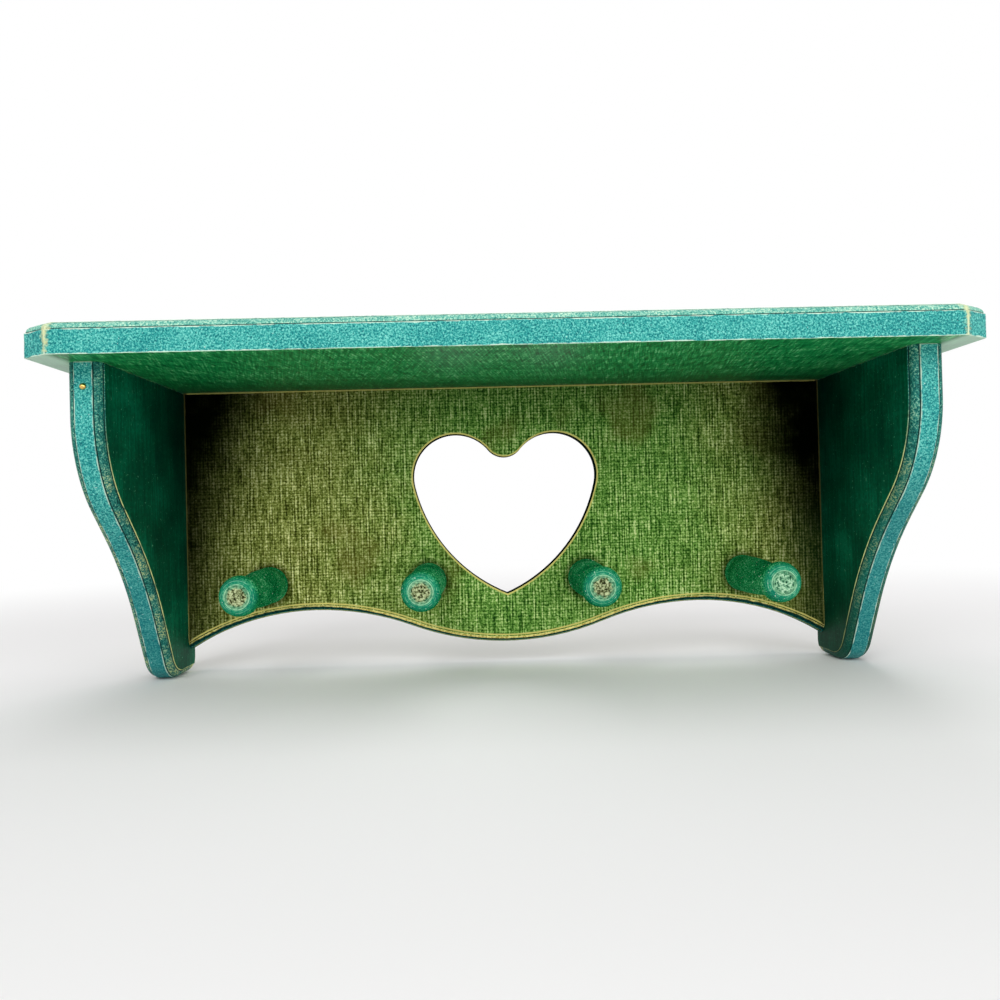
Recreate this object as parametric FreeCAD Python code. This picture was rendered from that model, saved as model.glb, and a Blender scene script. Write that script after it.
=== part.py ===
import FreeCAD, Part
import math
import os
from FreeCAD import Placement, Rotation, Vector

# Wooden wall shelf with four pegs and a heart cut through its back panel.
# Lengths are millimetres. X runs to the right, Y towards the wall and Z up.
# The wall is the plane y = 0. The origin lies on it, midway between the entry holes
# of the two hanging plates, so the shelf is at negative y.

# Shelf board, with its two front corners cut off
shelf_length = 544.0
shelf_depth = 160.0
shelf_thickness = 19.0
corner_width = 16.5
corner_depth = 10.0
end_overhang = 16.5
front_overhang = 21.0

# Routed edge: a quarter round between two small steps
moulding_radius = 4.2
moulding_step = 0.7

# Brackets. Their outline's corners are shares of the reach and of the height.
bracket_thickness = 20.5
bracket_height = 205.5
shoulder_radius = 83.5
waist_radius = 225.0
toe_radius = 24.0
heel_radius = 11.0
shoulder_drop_share = 0.311
waist_drop_share = 0.628
waist_reach_share = 0.547
toe_reach_share = 0.281

# Back panel, with two arches and a lobe along its lower edge
panel_thickness = 13.0
panel_foot_gap = 16.5
arch_rise = 26.5
arch_to_bracket = 93.0

# Heart. The radii of its lobes and of its notch are shares of its width.
heart_width = 136.0
heart_top_margin = 34.5
heart_bottom_margin = 35.5
heart_flank_radius = 115.0
heart_lobe_share = 0.2316
heart_notch_share = 0.1125

# Turned pegs, glued into the panel
peg_count = 4
peg_to_bracket = 60.25
peg_rise = 46.5
peg_length = 79.3
peg_tenon_diameter = 12.7
peg_bead_diameter = 26.5
peg_bead_length = 4.0
peg_bead_round = 1.0
peg_groove_width = 1.2
peg_body_diameter = 25.8
peg_belly = 1.2
peg_neck_diameter = 19.6
peg_flare_length = 11.0
peg_head_diameter = 26.6
peg_head_length = 7.3
peg_tip_diameter = 16.2

# Screws through the board into the brackets, each under a wooden plug
shelf_screw = {"head": 8.0, "shank": 4.0, "length": 40.0, "tip": 6.0, "recess": 1.2}
shelf_screw_back_inset = 30.0
shelf_screw_front_inset = 27.0
plug_diameter = 9.5
plug_length = 6.0

# Finishing nails, through the board and through the brackets into the panel
nail_head_diameter = 2.8
nail_head_length = 1.5
nail_shank_diameter = 1.8
nail_length = 45.0
nail_tip_length = 3.0
shelf_nail_count = 3
shelf_nail_to_bracket = 85.0
panel_nail_count = 3
panel_nail_drop = 65.0
panel_nail_foot_margin = 24.0

# Hanging plates, let into the brackets' back edges over a pocket for the screw's head
plate_side_wall = 2.25
plate_thickness = 1.6
plate_entry_diameter = 9.5
plate_slot_width = 4.5
plate_slot_rise = 10.0
plate_screw_offset = 4.75
plate_end_length = 5.0
plate_top_gap = 5.0
pocket_side_gap = 0.5
pocket_depth = 10.0
plate_screw = {"head": 6.0, "shank": 3.0, "length": 12.0, "tip": 3.0, "recess": 0.9}

# Brass pin in the left bracket's front edge
pin_drop = 14.3
pin_head_diameter = 4.0
pin_head_height = 1.5
pin_shank_diameter = 1.3
pin_length = 12.0
pin_tip_length = 2.0

# Room around a piece in its hole, and how far a cut runs past a face
clearance = 0.1
overrun = 1.0

# Places that follow from the sizes
bracket_reach = shelf_depth - front_overhang
bracket_centre = shelf_length / 2 - end_overhang - bracket_thickness / 2
panel_half = bracket_centre - bracket_thickness / 2
panel_height = bracket_height - panel_foot_gap
moulding_band = moulding_radius + moulding_step
arch_centre = panel_half - arch_to_bracket
peg_drop = panel_height - peg_rise
pocket_radius = plate_entry_diameter / 2 + pocket_side_gap
plate_screw_low = -pocket_radius - plate_screw_offset
plate_screw_high = plate_slot_rise + pocket_radius + plate_screw_offset
plate_low = plate_screw_low - plate_end_length
plate_high = plate_screw_high + plate_end_length
underside = plate_high + plate_top_gap
shelf_top = underside + shelf_thickness

# Directions, and the turns that stand a flat drawing up
up = Vector(0, 0, 1)
down = Vector(0, 0, -1)
to_front = Vector(0, -1, 0)
to_wall = Vector(0, 1, 0)
facing_front = Placement(Vector(), Rotation(Vector(1, 0, 0), 90))
facing_side = Placement(Vector(), Rotation(up, -90)) * facing_front
left = -1
right = 1


def moved(shape, placement):
    """The shape carried by the placement."""
    result = shape.copy()
    result.Placement = placement * result.Placement
    return result


def evenly(first, last, count):
    """Places spread evenly from the first to the last."""
    return [first + (last - first) * index / (count - 1) for index in range(count)]


def slab(wire, low, high):
    """The closed outline, drawn on the XY plane, as a slab between two heights."""
    solid = Part.Face(wire).extrude(up * (high - low))
    solid.translate(up * low)
    return solid


def sides_of(corners):
    """For each corner (x, y, radius), the directions in which it is met and left."""
    points = [Vector(x, y, 0) for x, y, radius in corners]
    following = points[1:] + points[:1]
    leaving = [(after - here).normalize() for here, after in zip(points, following)]
    return list(zip(leaving[-1:] + leaving[:-1], leaving))


def moved_in(corners, insets):
    """The anticlockwise outline with each side moved in by its own inset.

    A side starts at the corner of the same place in the list.
    """
    result = []
    for index, (met, left_by) in enumerate(sides_of(corners)):
        x, y, radius = corners[index]
        before, after = insets[index - 1], insets[index]
        turn = met.x * left_by.y - met.y * left_by.x
        shift_x = (before * left_by.x - after * met.x) / turn
        shift_y = (before * left_by.y - after * met.y) / turn
        if radius > 0:
            radius -= math.copysign(after, turn)
        result.append((x + shift_x, y + shift_y, radius))
    return result


def rounded(corners):
    """Closed outline through the corners (x, y, radius), each rounded by a tangent arc."""
    arcs = []
    for (x, y, radius), (met, left_by) in zip(corners, sides_of(corners)):
        corner = Vector(x, y, 0)
        half = (math.pi - met.getAngle(left_by)) / 2
        reach = radius / math.tan(half)
        inward = (left_by - met).normalize()
        middle = corner + inward * (radius / math.sin(half) - radius)
        arcs.append((corner - met * reach, middle, corner + left_by * reach, radius))
    edges = []
    for index, (start, middle, end, radius) in enumerate(arcs):
        if radius > 0:
            edges.append(Part.Arc(start, middle, end).toShape())
        following = arcs[(index + 1) % len(arcs)]
        edges.append(Part.LineSegment(end, following[0]).toShape())
    return Part.Wire(edges)


def arc_about(centre, start, end):
    """The shorter arc about the centre from the start to the end."""
    radius = (start - centre).Length
    towards = (start - centre) + (end - centre)
    return Part.Arc(start, centre + towards.normalize() * radius, end).toShape()


def moulded(outline, thickness, both_faces):
    """Slab with the routed edge on its upper face, or on both.

    The outline function draws the slab's outline with its routed sides moved in.
    """
    tops = [(moulding_band, moulding_band), (moulding_step, moulding_step), (0, 0)]
    insets = [0, moulding_step, moulding_band]
    layers = []
    for inset, (cut_low, cut_high) in zip(insets, tops):
        low = cut_low if both_faces else 0
        layers.append(slab(outline(inset), low, thickness - cut_high))
    full, stepped, face = layers
    rim = outline(0)
    levels = [thickness - moulding_step]
    if both_faces:
        levels.append(moulding_step)
    arrises = []
    for edge in stepped.Edges:
        middle = edge.valueAt((edge.FirstParameter + edge.LastParameter) / 2)
        at_level = any(math.isclose(middle.z, level, abs_tol=1e-6) for level in levels)
        foot = Part.Vertex(middle.x, middle.y, 0)
        if at_level and rim.distToShape(foot)[0] > moulding_step / 2:
            arrises.append(edge)
    stepped = stepped.makeFillet(moulding_radius, arrises)
    return full.fuse([stepped, face]).removeSplitter()


def turned(profile, place, direction):
    """Solid turned from (radius, distance) points, its axis from the place."""
    points = [Vector(radius, 0, distance) for radius, distance in profile]
    wire = Part.makePolygon(points + points[:1])
    solid = Part.Face(wire).revolve(Vector(), up, 360)
    return moved(solid, Placement(place, Rotation(up, direction)))


def screw_profile(screw, room):
    """Outline of a countersunk screw from its head's top, or of its hole with room."""
    head = screw["head"] / 2
    shank = screw["shank"] / 2
    return [
        (0, 0),
        (head + room, 0),
        (shank + room, head - shank),
        (shank + room, screw["length"] - screw["tip"]),
        (0, screw["length"] + room),
    ]


def countersunk_screw(screw, place, direction):
    """Countersunk wood screw with a cross recess in its head."""
    body = turned(screw_profile(screw, 0), place, direction)
    depth = screw["head"] / 4
    width = screw["recess"]
    span = screw["head"] * 2 / 3
    bars = [Part.makeBox(span, width, depth), Part.makeBox(width, span, depth)]
    for bar, size in zip(bars, [(span, width), (width, span)]):
        bar.translate(Vector(-size[0] / 2, -size[1] / 2, 0))
    recess = bars[0].fuse(bars[1])
    return body.cut(moved(recess, Placement(place, Rotation(up, direction))))


def screw_hole(screw, place, direction):
    """Hole for a countersunk screw."""
    return turned(screw_profile(screw, clearance), place, direction)


def nail(place, direction, room):
    """Finishing nail from its head's top, or its hole with room around it."""
    head = nail_head_diameter / 2 + room
    shank = nail_shank_diameter / 2 + room
    profile = [
        (0, 0),
        (head, 0),
        (head, nail_head_length),
        (shank, nail_head_length + nail_shank_diameter / 2),
        (shank, nail_length - nail_tip_length),
        (0, nail_length + room),
    ]
    return turned(profile, place, direction)


def shelf_screw_places(side):
    """Centres of the heads of one bracket's screws, under their plugs."""
    height = shelf_top - plug_length
    ys = [-shelf_screw_back_inset, shelf_screw_front_inset - bracket_reach]
    return [Vector(side * bracket_centre, y, height) for y in ys]


def shelf_nail_places():
    """Heads of the nails from the board down into the panel's top edge."""
    last = panel_half - shelf_nail_to_bracket
    xs = evenly(-last, last, shelf_nail_count)
    return [Vector(x, -panel_thickness / 2, shelf_top) for x in xs]


def panel_nail_places(side):
    """Heads of the nails from a bracket's outer face into the panel's end."""
    x = side * (bracket_centre + bracket_thickness / 2)
    last = panel_height - panel_nail_foot_margin
    drops = evenly(panel_nail_drop, last, panel_nail_count)
    return [Vector(x, -panel_thickness / 2, underside - drop) for drop in drops]


def plate_screw_places(side):
    """Heads of the two screws of a hanging plate."""
    heights = [plate_screw_low, plate_screw_high]
    return [Vector(side * bracket_centre, 0, height) for height in heights]


def peg_places():
    """Centres of the pegs' shoulders on the panel's front face, from left to right."""
    last = panel_half - peg_to_bracket
    xs = evenly(-last, last, peg_count)
    return [Vector(x, -panel_thickness, underside - peg_drop) for x in xs]


def pin_place():
    """Where the brass pin's head meets the left bracket's front edge."""
    return Vector(left * bracket_centre, -bracket_reach, underside - pin_drop)


def shelf_outline(inset):
    """The board from above, its ends, corners and front moved in."""
    half = shelf_length / 2
    corners = [
        (-half, 0, 0),
        (-half, corner_depth - shelf_depth, 0),
        (corner_width - half, -shelf_depth, 0),
        (half - corner_width, -shelf_depth, 0),
        (half, corner_depth - shelf_depth, 0),
        (half, 0, 0),
    ]
    return rounded(moved_in(corners, [inset] * (len(corners) - 1) + [0]))


def make_shelf_board():
    """Board with a moulded upper edge, drilled for its screws, plugs and nails."""
    board = moulded(shelf_outline, shelf_thickness, False)
    board.translate(up * underside)
    holes = [nail(place, down, clearance) for place in shelf_nail_places()]
    for place in shelf_screw_places(left) + shelf_screw_places(right):
        holes.append(screw_hole(shelf_screw, place, down))
        radius = plug_diameter / 2 + clearance
        holes.append(Part.makeCylinder(radius, plug_length + overrun, place, up))
    return board.cut(holes)


def bracket_corners(heel):
    """The bracket's outline from its foot at the wall, the wall being x = 0."""
    toe_reach = bracket_reach * toe_reach_share
    waist_reach = bracket_reach * waist_reach_share
    waist_height = -bracket_height * waist_drop_share
    shoulder_height = -bracket_height * shoulder_drop_share
    return [
        (0, -bracket_height, heel),
        (toe_reach, -bracket_height, toe_radius),
        (waist_reach, waist_height, waist_radius),
        (bracket_reach, shoulder_height, shoulder_radius),
        (bracket_reach, 0, 0),
        (0, 0, 0),
    ]


def bracket_outline(inset):
    """The bracket from the side, its foot and front moved in, with a square heel."""
    return rounded(moved_in(bracket_corners(0), [inset] * 4 + [0, 0]))


def stadium(half_width, low, high):
    """Upright slot with round ends, given the heights of its ends."""
    across = Vector(half_width, 0, 0)
    ends = [Vector(0, low + half_width, 0), Vector(0, high - half_width, 0)]
    edges = []
    for centre, way in zip(ends, (-1, 1)):
        middle = centre + Vector(0, way * half_width, 0)
        edges.append(Part.Arc(centre - across, middle, centre + across).toShape())
    for offset in (-across, across):
        edges.append(Part.LineSegment(ends[0] + offset, ends[1] + offset).toShape())
    return Part.Wire(Part.__sortEdges__(edges))


def plate_seat(side):
    """Recess and pocket behind a hanging plate, in the bracket's back edge."""
    half_width = bracket_thickness / 2 - plate_side_wall + clearance
    recess_outline = stadium(half_width, plate_low - clearance, plate_high + clearance)
    recess = slab(recess_outline, -overrun, plate_thickness)
    pocket_top = plate_slot_rise + pocket_radius
    pocket_outline = stadium(pocket_radius, -pocket_radius, pocket_top)
    pocket = slab(pocket_outline, 0, plate_thickness + pocket_depth)
    seat = moved(recess.fuse(pocket), facing_front)
    seat.translate(Vector(side * bracket_centre, 0, 0))
    return seat


def make_bracket(side):
    """Side bracket, with holes for all that enters it."""
    blank = moulded(bracket_outline, bracket_thickness, True)
    rim = slab(rounded(bracket_corners(heel_radius)), 0, bracket_thickness)
    bracket = moved(blank.common(rim), facing_side)
    inner_face = bracket_centre + bracket_thickness / 2
    if side == left:
        inner_face -= 2 * bracket_centre
    bracket.translate(Vector(inner_face, 0, underside))
    inward = Vector(-side, 0, 0)
    holes = [plate_seat(side)]
    for place in shelf_screw_places(side):
        holes.append(screw_hole(shelf_screw, place, down))
    for place in plate_screw_places(side):
        holes.append(screw_hole(plate_screw, place, to_front))
    for place in panel_nail_places(side):
        holes.append(nail(place, inward, clearance))
    if side == left:
        radius = pin_shank_diameter / 2 + clearance
        holes.append(Part.makeCylinder(radius, pin_length + clearance, pin_place(), to_wall))
    return bracket.cut(holes)


def scallop_edges(inset):
    """Lower edge of the panel from left to right, moved up by the inset."""
    foot = -panel_height
    outer_radius = (arch_to_bracket ** 2 + arch_rise ** 2) / (2 * arch_rise)
    inner_radius = (arch_centre ** 2 + arch_rise ** 2) / (4 * arch_rise)
    apex = Vector(arch_centre, foot + arch_rise + inset, 0)
    outer_centre = Vector(arch_centre, foot + arch_rise - outer_radius, 0)
    inner_centre = Vector(arch_centre, foot + arch_rise - inner_radius, 0)
    lobe_centre = Vector(0, foot + inner_radius, 0)
    lobe = Vector(0, foot + inset, 0)
    outer_inset_radius = outer_radius + inset
    end_height = outer_centre.y + math.sqrt(outer_inset_radius ** 2 - arch_to_bracket ** 2)
    end = Vector(panel_half, end_height, 0)
    join_from = Vector(arch_centre / 2, foot + arch_rise / 2, 0) - inner_centre
    join = inner_centre + join_from.normalize() * (inner_radius + inset)
    right_half = [
        arc_about(lobe_centre, lobe, join),
        arc_about(inner_centre, join, apex),
        arc_about(outer_centre, apex, end),
    ]
    left_half = [edge.mirror(Vector(), Vector(1, 0, 0)) for edge in right_half]
    return left_half + right_half, end


def panel_outline(inset):
    """The panel from the front, hanging from y = 0, its lower edge moved up."""
    scallops, end = scallop_edges(inset)
    corners = [
        end,
        Vector(panel_half, 0, 0),
        Vector(-panel_half, 0, 0),
        Vector(-end.x, end.y, 0),
    ]
    sides = [Part.LineSegment(a, b).toShape() for a, b in zip(corners, corners[1:])]
    return Part.Wire(Part.__sortEdges__(scallops + sides))


def heart_outline():
    """Heart of two lobes, two long flanks and a round notch, from the panel's top."""
    lobe_radius = heart_width * heart_lobe_share
    notch_radius = heart_width * heart_notch_share
    lobe = Vector(heart_width / 2 - lobe_radius, -heart_top_margin - lobe_radius, 0)
    notch_rise = math.sqrt((lobe_radius + notch_radius) ** 2 - lobe.x ** 2)
    notch_centre = Vector(0, lobe.y + notch_rise, 0)
    notch = notch_centre - Vector(0, notch_radius, 0)
    tip = Vector(0, heart_bottom_margin - panel_height, 0)
    to_lobe = lobe - notch_centre
    inner_touch = notch_centre + to_lobe * (notch_radius / to_lobe.Length)
    # The flank's circle touches the lobe's circle from outside and meets the tip.
    short = heart_flank_radius - lobe_radius
    span = tip - lobe
    along = (short ** 2 - heart_flank_radius ** 2 + span.Length ** 2) / (2 * span.Length)
    aside = math.sqrt(short ** 2 - along ** 2)
    way = Vector(span).normalize()
    flank_centre = lobe + way * along + Vector(way.y, -way.x, 0) * aside
    outer_touch = lobe + (lobe - flank_centre).normalize() * lobe_radius
    crown = lobe + Vector(0, lobe_radius, 0)
    right_half = [
        arc_about(notch_centre, notch, inner_touch),
        Part.Arc(inner_touch, crown, outer_touch).toShape(),
        arc_about(flank_centre, outer_touch, tip),
    ]
    left_half = [edge.mirror(Vector(), Vector(1, 0, 0)) for edge in right_half]
    return Part.Wire(Part.__sortEdges__(right_half + left_half))


def make_back_panel():
    """Panel with the heart, the pegs' holes and the nails' holes."""
    panel = moulded(panel_outline, panel_thickness, False)
    panel = panel.cut(slab(heart_outline(), -overrun, panel_thickness + overrun))
    panel = moved(panel, facing_front)
    panel.translate(up * underside)
    holes = [nail(place, down, clearance) for place in shelf_nail_places()]
    for side in (left, right):
        inward = Vector(-side, 0, 0)
        holes += [nail(place, inward, clearance) for place in panel_nail_places(side)]
    radius = peg_tenon_diameter / 2 + clearance
    for place in peg_places():
        start = place + to_front * overrun
        depth = panel_thickness + 2 * overrun
        holes.append(Part.makeCylinder(radius, depth, start, to_wall))
    return panel.cut(holes)


def make_peg(place):
    """Turned peg: tenon, bead, groove, bellied body, neck, flared head and flat tip."""
    tenon = peg_tenon_diameter / 2
    bead = peg_bead_diameter / 2
    body = peg_body_diameter / 2
    neck = peg_neck_diameter / 2
    head = peg_head_diameter / 2
    tip = peg_tip_diameter / 2
    body_start = peg_bead_length + peg_groove_width
    head_at = peg_length - peg_head_length
    neck_at = head_at - peg_flare_length
    round_middle = peg_bead_round * math.sqrt(0.5)
    dome = head - tip
    dome_radius = (peg_head_length ** 2 + dome ** 2) / (2 * dome)

    def at(radius, distance):
        return Vector(radius, 0, distance)

    def line(start, end):
        return Part.LineSegment(start, end).toShape()

    bead_edge = at(bead, peg_bead_length - peg_bead_round)
    bead_top = at(bead - peg_bead_round, peg_bead_length)
    bead_centre = at(bead - peg_bead_round, peg_bead_length - peg_bead_round)
    bead_middle = bead_centre + at(round_middle, round_middle)
    belly = at((body + neck) / 2 + peg_belly, (body_start + neck_at) / 2)
    flare_radius = (peg_flare_length ** 2 + (head - neck) ** 2) / (2 * (head - neck))
    edges = [
        line(at(0, -panel_thickness), at(tenon, -panel_thickness)),
        line(at(tenon, -panel_thickness), at(tenon, 0)),
        line(at(tenon, 0), at(bead, 0)),
        line(at(bead, 0), bead_edge),
        Part.Arc(bead_edge, bead_middle, bead_top).toShape(),
        line(bead_top, at(body, body_start)),
        Part.Arc(at(body, body_start), belly, at(neck, neck_at)).toShape(),
        arc_about(at(neck + flare_radius, neck_at), at(neck, neck_at), at(head, head_at)),
        arc_about(at(head - dome_radius, head_at), at(head, head_at), at(tip, peg_length)),
        line(at(tip, peg_length), at(0, peg_length)),
        line(at(0, peg_length), at(0, -panel_thickness)),
    ]
    peg = Part.Face(Part.Wire(edges)).revolve(Vector(), up, 360)
    return moved(peg, Placement(place, Rotation(up, to_front)))


def make_plug(place):
    """Wooden plug over a screw's head, flush with the board's top."""
    return Part.makeCylinder(plug_diameter / 2, plug_length, place, up)


def make_hanging_plate(side):
    """Steel plate with a keyhole: a round entry below a narrow slot."""
    half_width = bracket_thickness / 2 - plate_side_wall
    plate = slab(stadium(half_width, plate_low, plate_high), 0, plate_thickness)
    entry = Part.makeCylinder(plate_entry_diameter / 2, plate_thickness + 2 * overrun)
    entry.translate(down * overrun)
    slot_end = plate_slot_rise + plate_slot_width / 2
    slot_outline = stadium(plate_slot_width / 2, -plate_slot_width / 2, slot_end)
    slot = slab(slot_outline, -overrun, plate_thickness + overrun)
    plate = moved(plate.cut([entry, slot]), facing_front)
    plate.translate(Vector(side * bracket_centre, 0, 0))
    places = plate_screw_places(side)
    return plate.cut([screw_hole(plate_screw, place, to_front) for place in places])


def make_brass_pin():
    """Small round-headed brass pin."""
    head = pin_head_diameter / 2
    shank = pin_shank_diameter / 2
    dome_radius = (head ** 2 + pin_head_height ** 2) / (2 * pin_head_height)
    dome = Part.makeSphere(dome_radius, Vector(0, 0, pin_head_height - dome_radius))
    keep = Part.makeCylinder(dome_radius, pin_head_height)
    profile = [(0, 0), (shank, 0), (shank, pin_length - pin_tip_length), (0, pin_length)]
    pin = dome.common(keep).fuse(turned(profile, Vector(), down)).removeSplitter()
    return moved(pin, Placement(pin_place(), Rotation(up, to_front)))


def export(name, solids):
    """One file for a piece, or for a group of like fasteners."""
    shape = solids[0] if len(solids) == 1 else Part.makeCompound(solids)
    shape.exportStep("parts/" + name + ".step")


os.makedirs("parts", exist_ok=True)
export("shelf_board", [make_shelf_board()])
export("back_panel", [make_back_panel()])
export("brass_pin", [make_brass_pin()])
export("shelf_nails", [nail(place, down, 0) for place in shelf_nail_places()])
for number, place in enumerate(peg_places(), start=1):
    export("peg_" + str(number), [make_peg(place)])
for side, word in ((left, "left"), (right, "right")):
    inward = Vector(-side, 0, 0)
    export("bracket_" + word, [make_bracket(side)])
    export("shelf_plugs_" + word, [make_plug(place) for place in shelf_screw_places(side)])
    export("panel_nails_" + word, [nail(place, inward, 0) for place in panel_nail_places(side)])
    export("hanging_plate_" + word, [make_hanging_plate(side)])
    shelf_screws = [
        countersunk_screw(shelf_screw, place, down) for place in shelf_screw_places(side)
    ]
    export("shelf_screws_" + word, shelf_screws)
    plate_screws = [
        countersunk_screw(plate_screw, place, to_front) for place in plate_screw_places(side)
    ]
    export("plate_screws_" + word, plate_screws)
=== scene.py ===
import math

import bmesh
import bpy
from bmesh.types import BMEdge, BMFace, BMVert
from bpy.props import FloatProperty, FloatVectorProperty, PointerProperty
from bpy.types import Operator, Panel, PropertyGroup
from mathutils import Euler, Matrix, Vector


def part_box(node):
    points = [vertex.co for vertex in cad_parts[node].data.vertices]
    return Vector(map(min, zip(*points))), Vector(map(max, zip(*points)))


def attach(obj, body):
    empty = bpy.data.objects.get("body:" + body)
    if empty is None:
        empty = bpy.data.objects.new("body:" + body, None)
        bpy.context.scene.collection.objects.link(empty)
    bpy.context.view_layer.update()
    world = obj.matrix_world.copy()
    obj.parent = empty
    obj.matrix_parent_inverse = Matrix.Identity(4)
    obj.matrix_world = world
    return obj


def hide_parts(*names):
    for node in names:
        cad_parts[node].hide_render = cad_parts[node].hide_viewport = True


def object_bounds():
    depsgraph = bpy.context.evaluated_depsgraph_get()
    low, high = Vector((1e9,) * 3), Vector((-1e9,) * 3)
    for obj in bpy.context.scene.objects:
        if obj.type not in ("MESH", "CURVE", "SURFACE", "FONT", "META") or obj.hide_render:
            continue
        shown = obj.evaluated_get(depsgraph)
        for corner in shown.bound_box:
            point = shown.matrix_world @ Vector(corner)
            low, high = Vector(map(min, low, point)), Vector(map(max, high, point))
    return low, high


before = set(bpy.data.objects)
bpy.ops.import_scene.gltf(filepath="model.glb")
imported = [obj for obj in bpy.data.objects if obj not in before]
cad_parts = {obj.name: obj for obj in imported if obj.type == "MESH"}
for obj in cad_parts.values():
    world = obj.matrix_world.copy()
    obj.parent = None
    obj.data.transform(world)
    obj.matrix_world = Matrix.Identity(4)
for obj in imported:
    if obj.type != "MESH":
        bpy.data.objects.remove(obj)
CAD_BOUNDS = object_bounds()

bl_info = {
    "name": "Wall shelf with pegs",
    "version": (1, 0, 0),
    "blender": (4, 5, 0),
    "location": "View3D > Sidebar > Shelf",
    "description": "Dresses a painted wall shelf with brackets, a pierced panel and pegs",
    "category": "Object",
}

# Directions. X runs to the right, Y into the wall and Z up.
RIGHT, WALL, UP = Vector((1, 0, 0)), Vector((0, 1, 0)), Vector((0, 0, 1))
SIDES = ("left", "right")

# Meshing: the turn between two points of an arc, the least turn of a sharp arris, the most
# that is shaded smooth, and the segments of a quarter round, a bore and a peg
ARC_STEP = math.radians(3)
SHARP_TURN = math.radians(28)
SMOOTH_TURN = math.radians(35)
ROUND_SEGMENTS = 8
BORE_SEGMENTS = 48
PEG_SEGMENTS = 64

# How close points are to be the same, or to lie on a plane
NEAR = 1e-5
WELD = 1e-6
ON_PLANE = 1e-7

# How far a face points along a way: lying flat to it, turned to it, and lying beside it
FLAT = 0.99
FACING = 0.9
BESIDE = 0.02

# What runs past a face before it is trimmed
OVERRUN = 0.02

# How much wider a well is than what sits in it
PLUG_FIT = 1.02
NAIL_FIT = 1.03
TENON_FIT = 1.01
PLATE_FIT = 1.01

# A keyhole's pocket: its radius as a share of the plate's, and its depth
POCKET_SHARE = 0.65
POCKET_DEPTH = 0.01

# Width of the painted rim about a peg's bare tip
TIP_RIM = 0.0009

# Where the lamps look
LIT_PLACE = Vector((0, -0.05, -0.05))


def box_of(node):
    """Lowest and highest corner of a node of the frame."""
    low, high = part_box(node)
    return Vector(low), Vector(high)


BOARD_LOW, BOARD_HIGH = box_of("shelf_board")
PANEL_LOW, PANEL_HIGH = box_of("back_panel")


def peg_centre(number):
    """Middle of a peg's box; the pegs are numbered from 1, from left to right."""
    low, high = box_of("peg_%d" % number)
    return (low + high) / 2


def tint(red, green, blue):
    """Linear colour of an 8-bit screen colour."""
    shares = [value / 255 for value in (red, green, blue)]
    return tuple(s / 12.92 if s <= 0.04045 else ((s + 0.055) / 1.055) ** 2.4 for s in shares)


def length_property(name, description, default):
    """A length in metres."""
    return FloatProperty(
        name=name, description=description, default=default, unit="LENGTH", precision=4
    )


def share_property(name, description, default):
    """A share of another size."""
    return FloatProperty(name=name, description=description, default=default, subtype="FACTOR")


def colour_property(name, description, default):
    """A paint's colour."""
    return FloatVectorProperty(
        name=name, description=description, default=default, subtype="COLOR", min=0, max=1
    )


class ShelfEdgeSizes(PropertyGroup):
    """Sizes of the routed edge and of the worn arrises."""

    radius: length_property("Radius", "Radius of the quarter round", 0.0042)
    step: length_property("Step", "Small step on either side of the quarter round", 0.0007)
    softening: length_property("Softening", "Width sanded off a sharp arris", 0.0003)
    worn_width: length_property("Worn width", "How far wear spreads from an arris", 0.0016)
    corner_width: length_property("Corner width", "Board's cut corner, along its front", 0.0165)
    corner_depth: length_property("Corner depth", "Board's cut corner, along its end", 0.010)


class ShelfBracketSizes(PropertyGroup):
    """Sizes of the brackets' curved outline."""

    shoulder_radius: length_property("Shoulder radius", "Bulge under the board", 0.0835)
    waist_radius: length_property("Waist radius", "Hollow above the foot", 0.225)
    toe_radius: length_property("Toe radius", "Front of the foot", 0.024)
    heel_radius: length_property("Heel radius", "Back of the foot", 0.011)
    shoulder_drop_share: share_property("Shoulder drop", "Share of the height", 0.311)
    waist_drop_share: share_property("Waist drop", "Share of the height", 0.628)
    waist_reach_share: share_property("Waist reach", "Share of the reach", 0.547)
    toe_reach_share: share_property("Toe reach", "Share of the reach", 0.281)


class ShelfPanelSizes(PropertyGroup):
    """Sizes of the back panel's scallops and heart."""

    arch_rise: length_property("Arch rise", "Height of the arches over the lobe", 0.0265)
    arch_to_bracket: length_property("Arch to bracket", "From an arch's crown to its end", 0.093)
    heart_width: length_property("Heart width", "Width of the heart", 0.136)
    heart_top: length_property("Heart top", "From the panel's top down to the heart", 0.0345)
    heart_bottom: length_property("Heart bottom", "From the heart's tip to the lobe", 0.0355)
    flank_radius: length_property("Flank radius", "Radius of the heart's flanks", 0.115)
    lobe_share: share_property("Lobe", "Lobe radius as a share of the width", 0.2316)
    notch_share: share_property("Notch", "Notch radius as a share of the width", 0.1125)


class ShelfPegSizes(PropertyGroup):
    """Sizes of a turned peg."""

    tenon: length_property("Tenon", "Radius of the tenon", 0.00635)
    bead: length_property("Bead", "Radius of the bead at the shoulder", 0.01325)
    bead_length: length_property("Bead length", "Length of the bead", 0.004)
    bead_round: length_property("Bead rounding", "Rounding of the bead's rim", 0.001)
    groove: length_property("Groove", "Width of the groove behind the bead", 0.0012)
    body: length_property("Body", "Radius of the body beside the bead", 0.0129)
    belly: length_property("Belly", "Swelling of the body", 0.0012)
    neck: length_property("Neck", "Radius of the neck", 0.0098)
    flare: length_property("Flare", "Length of the flare behind the head", 0.011)
    head: length_property("Head", "Radius of the head", 0.0133)
    head_length: length_property("Head length", "From the widest place to the tip", 0.0073)
    tip: length_property("Tip", "Radius of the flat tip", 0.0081)


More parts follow.
